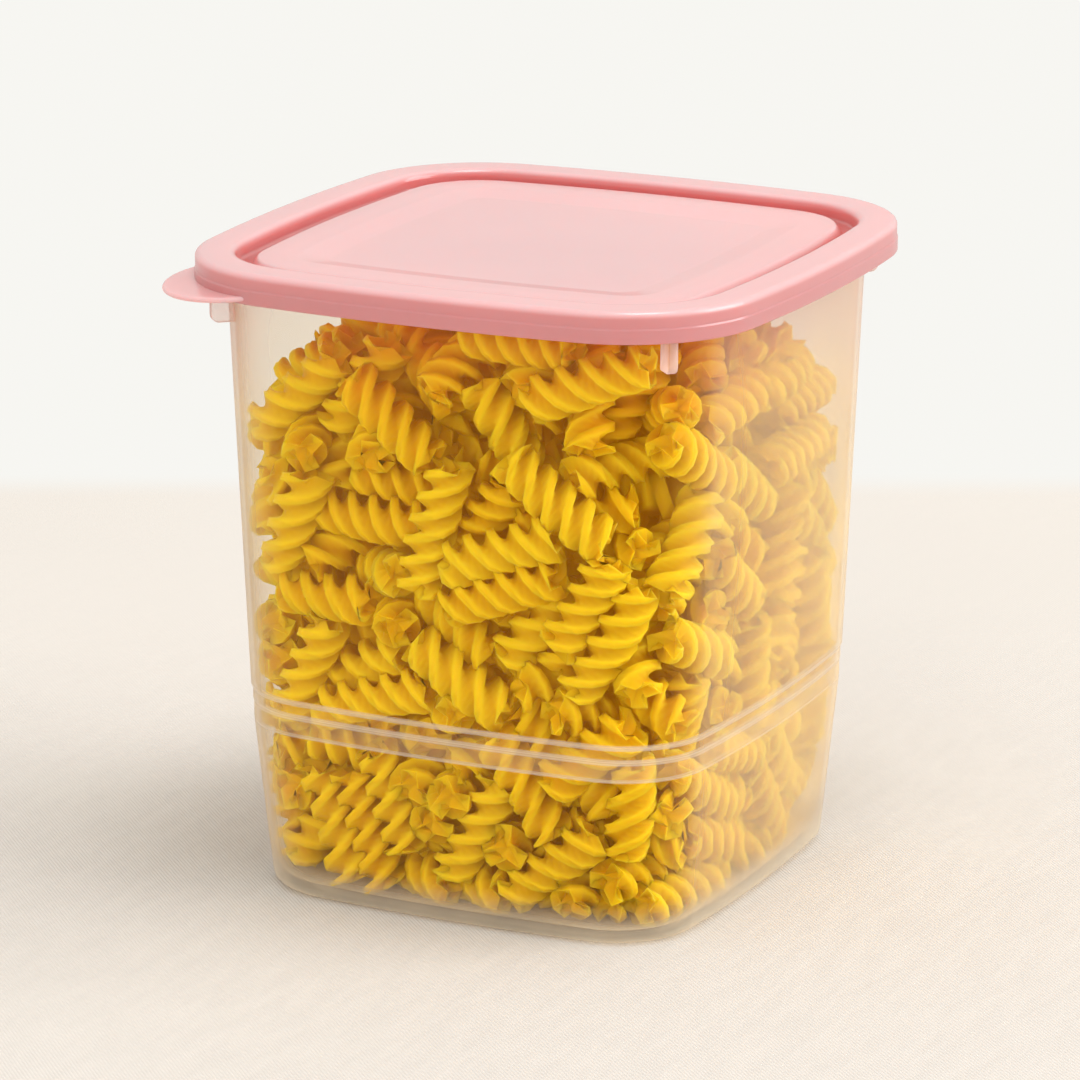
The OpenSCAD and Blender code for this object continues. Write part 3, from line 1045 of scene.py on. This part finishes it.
@dataclass
class PastaHeap:
    """Dry pasta spirals, packed as sticks and then given blades.

    The sticks start small and scattered. While they grow to full thickness, those that
    overlap push each other apart, and the canister's walls, its floor and the planes over
    the heap push them back in.
    """

    sizes: Sizes
    count: int = 545
    seed: int = 11
    radius: float = 5.7 * MM
    stick_radius: float = 4.6 * MM
    wall_radius: float = 5.1 * MM
    wall_gap: float = 0.3 * MM
    length: float = 30 * MM
    length_share: Span = (0.85, 1.08)
    start_inset: float = 12 * MM
    start_height: Span = (0.07, 0.95)
    start_lie: Tuple[float, float, float] = (1, 1, 0.6)
    rounds: int = 450
    first_growth: float = 0.55
    growth_rate: float = 0.9
    search_every: int = 8
    search_margin: float = 4 * MM
    ease: float = 0.9
    flat_zone: float = 16 * MM
    flatten: float = 0.06
    sink: float = 0.03 * MM
    sink_share: float = 0.85
    planes: Tuple[HeapPlane, ...] = (
        HeapPlane(144.5 * MM),
        HeapPlane(183 * MM, 0.900, 0.437),
        HeapPlane(174 * MM, -0.63, -0.63),
    )
    rings: int = 25
    core_rings: int = 10
    seen_depth: float = 24 * MM
    pitch: float = 17.7 * MM
    pitch_share: Span = (0.9, 1.12)
    blade_t: float = 1.8 * MM
    hub: float = 0.4
    cup: float = 3.5 * MM
    cup_hub: float = 0.1
    cut_tone: float = 0.8
    cut_slant: Span = (0.0, 0.35)
    cut_phase: Span = (0.0, 6.0)
    end_power: int = 10
    flare: Span = (-0.12, 0.04)
    girth: Span = (0.94, 1.03)
    swell: float = 0.05
    swell_turns: Span = (0.6, 1.4)
    curl: Span = (-0.1, 0.3)
    end_curl: Span = (-0.2, 0.3)
    bow: Span = (0.1 * MM, 0.9 * MM)
    bow_middle: float = 0.67

    def __post_init__(self) -> None:
        """Starts the random draws."""
        self.draw = np.random.default_rng(self.seed)

    def hold_in(self, points: Array, reach: Callable[[Array], Array]) -> None:
        """Moves points back inside the canister and under the heap's planes, in place.

        Args:
            points: The points.
            reach: Gives how far from each point its stick reaches along a direction.
        """
        s = self.sizes
        hw, corner_r = s.room_hw(points[:, 2]), s.wall_corner_r(points[:, 2]) - s.wall_t
        for axis, way in ((0, 1), (0, -1), (1, 1), (1, -1)):
            normal = np.zeros_like(points)
            normal[:, axis] = way * points[:, axis] + s.side_r - hw
            normal[:, 1 - axis] = points[:, 1 - axis]
            far = np.linalg.norm(normal, axis=1)
            normal[:, axis] *= way
            normal /= far[:, None]
            points -= np.maximum(far - s.side_r + reach(normal), 0)[:, None] * normal
        normal = np.zeros_like(points)
        normal[:, :2] = np.abs(points[:, :2]) - s.corner_middle(hw, corner_r)[:, None]
        in_corner = (normal[:, :2] > 0).all(axis=1)
        far = np.maximum(np.linalg.norm(normal, axis=1), 1e-9)
        normal[:, :2] *= np.sign(points[:, :2])
        normal /= far[:, None]
        over = np.where(in_corner, far - corner_r + reach(normal), 0)
        points -= np.maximum(over, 0)[:, None] * normal
        upright = np.zeros_like(points) + (0, 0, 1)
        points[:, 2] = np.maximum(points[:, 2], s.floor_z + reach(upright))
        for plane in self.planes:
            normal = np.array([-plane.slope_x, -plane.slope_y, 1.0])
            size = np.linalg.norm(normal)
            facing = np.broadcast_to(normal / size, points.shape)
            over = (points @ normal - plane.height) / size + reach(facing)
            points -= np.maximum(over, 0)[:, None] * normal / size

    def lay_flat(self, middle: Array, lie: Array) -> Array:
        """Turns sticks that are close to a wall a little towards lying along it.

        Args:
            middle: Middles of the sticks.
            lie: Their directions, of length 1.

        Returns:
            The new directions, of length 1.
        """
        room = self.sizes.room_hw(middle[:, 2])[:, None] - np.abs(middle[:, :2])
        near = np.clip((self.flat_zone - room) / self.flat_zone, 0, 1)
        lie = lie.copy()
        lie[:, :2] *= 1 - self.flatten * near
        return unit(lie)

    def stick_reach(self, lie: Array) -> Callable[[Array], Array]:
        """Makes the function of how far a stick reaches from its last point along a direction."""
        def reach(normal: Array) -> Array:
            """For a flat end with a round edge: cap times |cos| plus radius times sin."""
            cos = np.abs((lie * normal).sum(axis=1))
            return self.stick_radius * cos + self.wall_radius * np.sqrt(np.maximum(1 - cos ** 2, 0))
        return reach

    @staticmethod
    def nearest(p: Array, u: Array, q: Array, v: Array) -> Tuple[Array, Array]:
        """Shares along segments p + s u and q + t v at which they come closest."""
        a, e, b = (u * u).sum(1), (v * v).sum(1), (u * v).sum(1)
        gap = p - q
        c, f = (u * gap).sum(1), (v * gap).sum(1)
        area = a * e - b * b
        s = np.where(area > 1e-14, (b * f - c * e) / np.maximum(area, 1e-14), 0.5)
        t = np.clip((b * np.clip(s, 0, 1) + f) / e, 0, 1)
        return np.clip((b * t - c) / a, 0, 1), t

    def packed(self) -> Tuple[Array, Array]:
        """Packs the sticks and returns both ends of each."""
        n, s = self.count, self.sizes
        half = self.draw.uniform(*self.length_share, n) * self.length / 2 - self.stick_radius
        z = self.draw.uniform(*self.start_height, n) * s.body_h
        spread = s.wall_hw(z) - self.start_inset
        x, y = (self.draw.uniform(-1, 1, n) * spread for _ in range(2))
        middle = np.stack([x, y, z], 1)
        lie = self.draw.normal(size=(n, 3)) * self.start_lie
        lie *= half[:, None] / np.linalg.norm(lie, axis=1, keepdims=True)
        tails, heads = middle - lie, middle + lie
        first, second = np.triu_indices(n, 1)
        for turn in range(self.rounds):
            growth = min(1.0, self.first_growth + self.growth_rate * turn / self.rounds)
            if turn % self.search_every == 0:
                middle = (tails + heads) / 2
                apart = np.linalg.norm(middle[first] - middle[second], axis=1)
                near = apart < half[first] + half[second] + 2 * self.stick_radius + self.search_margin
                i, j = first[near], second[near]
            u, v = heads[i] - tails[i], heads[j] - tails[j]
            a, b = self.nearest(tails[i], u, tails[j], v)
            gap = tails[i] + u * a[:, None] - tails[j] - v * b[:, None]
            apart = np.linalg.norm(gap, axis=1)
            over = 2 * self.stick_radius * growth - apart
            hit = over > 0
            push = gap[hit] * (0.5 * over[hit] / np.maximum(apart[hit], 1e-6))[:, None]
            move_tail, move_head, hits = np.zeros((n, 3)), np.zeros((n, 3)), np.zeros(n)
            for who, share, way in ((i[hit], a[hit], 1), (j[hit], b[hit], -1)):
                size = (1 - share) ** 2 + share ** 2
                np.add.at(move_tail, who, way * push * ((1 - share) / size)[:, None])
                np.add.at(move_head, who, way * push * (share / size)[:, None])
                np.add.at(hits, who, 1)
            ease = (self.ease / np.sqrt(np.maximum(hits, 1)))[:, None]
            tails += move_tail * ease
            heads += move_head * ease
            if turn < self.sink_share * self.rounds:
                tails[:, 2] -= self.sink
                heads[:, 2] -= self.sink
            for _ in range(2):
                reach = self.stick_reach(unit(heads - tails))
                self.hold_in(tails, reach)
                self.hold_in(heads, reach)
                middle = (tails + heads) / 2
                lie = self.lay_flat(middle, unit(heads - tails))
                tails, heads = middle - lie * half[:, None], middle + lie * half[:, None]
        LOG.info("packed: mean overlap %.2f mm, worst %.2f mm", over[hit].mean() / MM, over.max() / MM)
        return tails - lie * self.stick_radius, heads + lie * self.stick_radius

    def blades(self, tails: Array, heads: Array, rings: int) -> Tuple[Array, Array, Array]:
        """Gives each stick three blades.

        A spiral is a section carried along a slightly bent axis while it turns. The section
        has three straight blades, with a point on the hub between each two and two points on
        each blunt edge, and it closes in a cup at both cut ends. A blade that turns once in a
        pitch p is cut at a slant by the section, so at radius r its thickness t shows there as
        t sqrt(1 + (2 pi r / p)^2). A small curl leans the blades over, and the cut ends flare
        or draw in a little.

        Args:
            tails: One end of each stick.
            heads: The other end.
            rings: Sections along each spiral.

        Returns:
            Points of shape (spirals, rings, 9, 3), and for each point its share of the way
            out to the edge and its spiral's tone.
        """
        n = len(tails)
        axis = heads - tails
        length = np.linalg.norm(axis, axis=1)
        axis /= length[:, None]
        helper = np.where(np.abs(axis[:, 2:]) < 0.8, [[0.0, 0.0, 1.0]], [[1.0, 0.0, 0.0]])
        side = unit(np.cross(helper, axis))
        up = np.cross(axis, side)
        along = np.concatenate([[0], np.linspace(0, 1, rings - 2), [1]])

        def drawn(low: float, high: float) -> Array:
            """One random number a spiral, as a column."""
            return self.draw.uniform(low, high, (n, 1))

        end = np.abs(2 * along - 1) ** self.end_power
        wave = np.sin(2 * math.pi * (along * drawn(*self.swell_turns) + drawn(0, 1)))
        radius = self.radius * drawn(*self.girth) * (1 + self.swell * wave)
        radius *= 1 + end * drawn(*self.flare)
        pitch = self.pitch * drawn(*self.pitch_share)
        turn = 2 * math.pi * (length[:, None] * along / pitch + drawn(0, 1))
        slant = np.sqrt(1 + (2 * math.pi * self.radius / self.pitch) ** 2)
        half_edge = self.blade_t * slant / 2 / self.radius
        share = np.tile([1.0, 1.0, self.hub], (rings, 3))
        share[[0, -1]] *= self.cup_hub
        third = np.arange(3)[:, None] * math.radians(120)
        angle = (third + [-half_edge, half_edge, math.radians(60)]).ravel()
        curl = drawn(*self.curl) + end * drawn(*self.end_curl)
        out = share * radius[..., None]
        spin = angle - curl[..., None] * share + turn[..., None]
        back = np.zeros(rings)
        back[[0, -1]] = self.cup, -self.cup
        bow_angle = drawn(0, 2 * math.pi)
        bow = drawn(*self.bow) * (4 * along * (1 - along) - self.bow_middle)
        aside = np.cos(bow_angle) * side + np.sin(bow_angle) * up
        line = tails[:, None] + axis[:, None] * (length[:, None] * along + back)[..., None] \
            + bow[..., None] * aside[:, None]
        points = line[:, :, None] + out[..., None] * (
            np.cos(spin)[..., None] * side[:, None, None] + np.sin(spin)[..., None] * up[:, None, None])
        cut = end * np.sign(2 * along - 1) * drawn(*self.cut_slant)
        lean = cut[..., None] * out * (np.sin(spin + drawn(*self.cut_phase)[..., None]) - 1)
        points += lean[..., None] * axis[:, None, None]
        flat = points.reshape(-1, 3)
        self.hold_in(flat, lambda normal: np.full(len(flat), self.wall_gap))
        rim = share.copy()
        rim[[0, -1]] = self.cut_tone
        rim = np.broadcast_to(rim, points.shape[:3])
        tone = np.broadcast_to(drawn(0, 1)[..., None], points.shape[:3])
        return flat.reshape(points.shape), rim, tone

    def mesh(self, name: str, points: Array, rim: Array, tone: Array) -> Piece:
        """Joins spirals into one piece, shaded smooth but for the rims of the cut ends.

        Args:
            name: Name of the piece.
            points: Points of shape (spirals, rings, section points, 3).
            rim: Share of the way out to the edge, for each point.
            tone: Tone of its spiral, for each point.

        Returns:
            The piece.
        """
        n, rings, count = points.shape[:3]
        start = np.arange(n) * rings * count
        sides = (start[:, None, None] + ring_faces(rings, count)[None]).reshape(-1, 4)
        ring = np.arange(count)
        ends = np.concatenate([start[:, None] + ring[::-1][None],
                               start[:, None] + (rings - 1) * count + ring[None]])
        piece = mesh_object(name, points.reshape(-1, 3), sides, [ends])
        mesh = piece.data
        point_numbers(piece, "rim", rim)
        point_numbers(piece, "tone", tone)
        edges = np.empty(len(mesh.edges) * 2, np.int32)
        mesh.edges.foreach_get("vertices", edges)
        row = edges.reshape(-1, 2) // count % rings
        cut = (row[:, 0] == row[:, 1]) & np.isin(row[:, 0], (1, rings - 2))
        mesh.attributes.new("sharp_edge", "BOOLEAN", "EDGE").data.foreach_set("value", cut)
        return piece

    def depth(self, middles: Array) -> Array:
        """How far places lie inside the heap: the least distance to a wall or to its top."""
        hw = self.sizes.room_hw(middles[:, 2])
        walls = (hw[:, None] - np.abs(middles[:, :2])).min(axis=1)
        tops = [(p.height + p.slope_x * middles[:, 0] + p.slope_y * middles[:, 1] - middles[:, 2])
                / math.hypot(1, p.slope_x, p.slope_y) for p in self.planes]
        return np.minimum(walls, np.min(tops, axis=0))

    def build(self, finish: DryPasta) -> List[Piece]:
        """Packs the heap and makes its outer spirals and its plainer hidden core.

        Args:
            finish: The pasta's finish.

        Returns:
            The pieces, riding on the container's body.
        """
        tails, heads = self.packed()
        material = finish.material()
        seen = self.depth((tails + heads) / 2) < self.seen_depth
        parts = (("pasta_outer", seen, self.rings), ("pasta_core", ~seen, self.core_rings))
        pieces = []
        for name, part, rings in parts:
            piece = self.mesh(name, *self.blades(tails[part], heads[part], rings))
            piece.data.materials.append(material)
            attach(piece, Body.CONTAINER.value)
            LOG.info("%s: %d spirals", name, int(part.sum()))
            pieces.append(piece)
        return pieces


# ------------------------------------------------------------------ the studio


@dataclass(frozen=True)
class Softbox:
    """A square soft white lamp, placed by azimuth, elevation and distance.

    A lamp that isn't mirrored lights the object, but glossy surfaces don't show it.
    """

    name: str
    azimuth: float
    elevation: float
    distance: float
    width: float
    power: float
    mirrored: bool = True


@dataclass
class Studio:
    """Floor, lamps, world and camera."""

    target: Tuple[float, float, float] = (-0.002161, -0.001050, 0.077091)
    azimuth: float = 25.905
    elevation: float = 15.5515
    distance: float = 1.291143
    lens: float = 185.36
    sensor: float = 36.0
    clip: Span = (0.05, 50.0)
    world: Colour = (1.0, 0.985, 0.96)
    world_strength: float = 0.88
    floor_half: float = 6.0
    lamp_aim_z: float = 0.08
    lamps: Tuple[Softbox, ...] = (
        Softbox("key_right", 110, 26, 3.0, 2.2, 61),
        Softbox("top", 60, 78, 3.0, 1.2, 32),
        Softbox("front_fill", 0, 14, 3.4, 2.4, 38, mirrored=False),
    )

    def direction(self, azimuth: float, elevation: float) -> Vector:
        """Unit vector from the object towards a place seen at an azimuth and elevation."""
        a, e = math.radians(azimuth), math.radians(elevation)
        return Vector((math.sin(a) * math.cos(e), -math.cos(a) * math.cos(e), math.sin(e)))

    def camera(self) -> None:
        """Puts the camera at its viewing angle and makes it the scene's."""
        data = bpy.data.cameras.new("camera")
        data.lens, data.sensor_width = self.lens, self.sensor
        data.clip_start, data.clip_end = self.clip
        camera = bpy.data.objects.new("camera", data)
        back = self.direction(self.azimuth, self.elevation)
        camera.location = Vector(self.target) + back * self.distance
        camera.rotation_euler = (-back).to_track_quat("-Z", "Y").to_euler()
        bpy.context.scene.collection.objects.link(camera)
        bpy.context.scene.camera = camera

    def light(self) -> None:
        """Makes the softboxes and the world, which shows off-white to the camera."""
        for box in self.lamps:
            data = bpy.data.lights.new(box.name, "AREA")
            data.shape, data.size, data.energy = "SQUARE", box.width, box.power
            lamp = bpy.data.objects.new(box.name, data)
            towards = self.direction(box.azimuth, box.elevation)
            lamp.location = towards * box.distance + Vector((0, 0, self.lamp_aim_z))
            lamp.rotation_euler = towards.to_track_quat("Z", "Y").to_euler()
            lamp.visible_glossy = box.mirrored
            bpy.context.scene.collection.objects.link(lamp)
        tree = ShaderTree(bpy.data.worlds.new("studio"))
        lit = tree.shader("Background", {"Color": self.world, "Strength": self.world_strength})
        ground = tree.shader("Background", {"Color": LinenTop.ground})
        bpy.context.scene.world = tree.shown(tree.layered(tree.seen(), lit, ground))

    def floor(self, finish: LinenTop) -> None:
        """Lays a wide flat floor under the foot."""
        half = self.floor_half
        points = np.array([[-half, -half, 0], [half, -half, 0], [half, half, 0], [-half, half, 0]])
        floor = mesh_object("floor", points, np.array([[0, 1, 2, 3]]), smooth=False)
        floor.data.materials.append(finish.material())

    def build(self) -> None:
        """Makes the whole studio."""
        self.camera()
        self.light()
        self.floor(LinenTop())
        bpy.context.scene.view_settings.view_transform = "Standard"


def corners(box: Sequence[Sequence[float]]) -> List[List[float]]:
    """A box as plain lists of numbers."""
    return [[float(x) for x in corner] for corner in box]


def main() -> None:
    """Builds the canister, the lid, the pasta and the studio."""
    logging.basicConfig(level=logging.INFO, format="%(name)s: %(message)s")
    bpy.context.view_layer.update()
    sizes = Sizes.from_frame()
    # The ribs' pink veil paints pink light from the lid; their extra milk is their thicker plastic.
    rib = MilkyPlastic("milky_rib_pink_lit", square_milk=0.3, veil=(0.90, 0.74, 0.71))
    Container(sizes, MilkyPlastic(), rib).build()
    Lid(sizes, SatinPlastic()).build()
    PastaHeap(sizes).build(DryPasta())
    Studio().build()


if __name__ == "__main__":
    main()
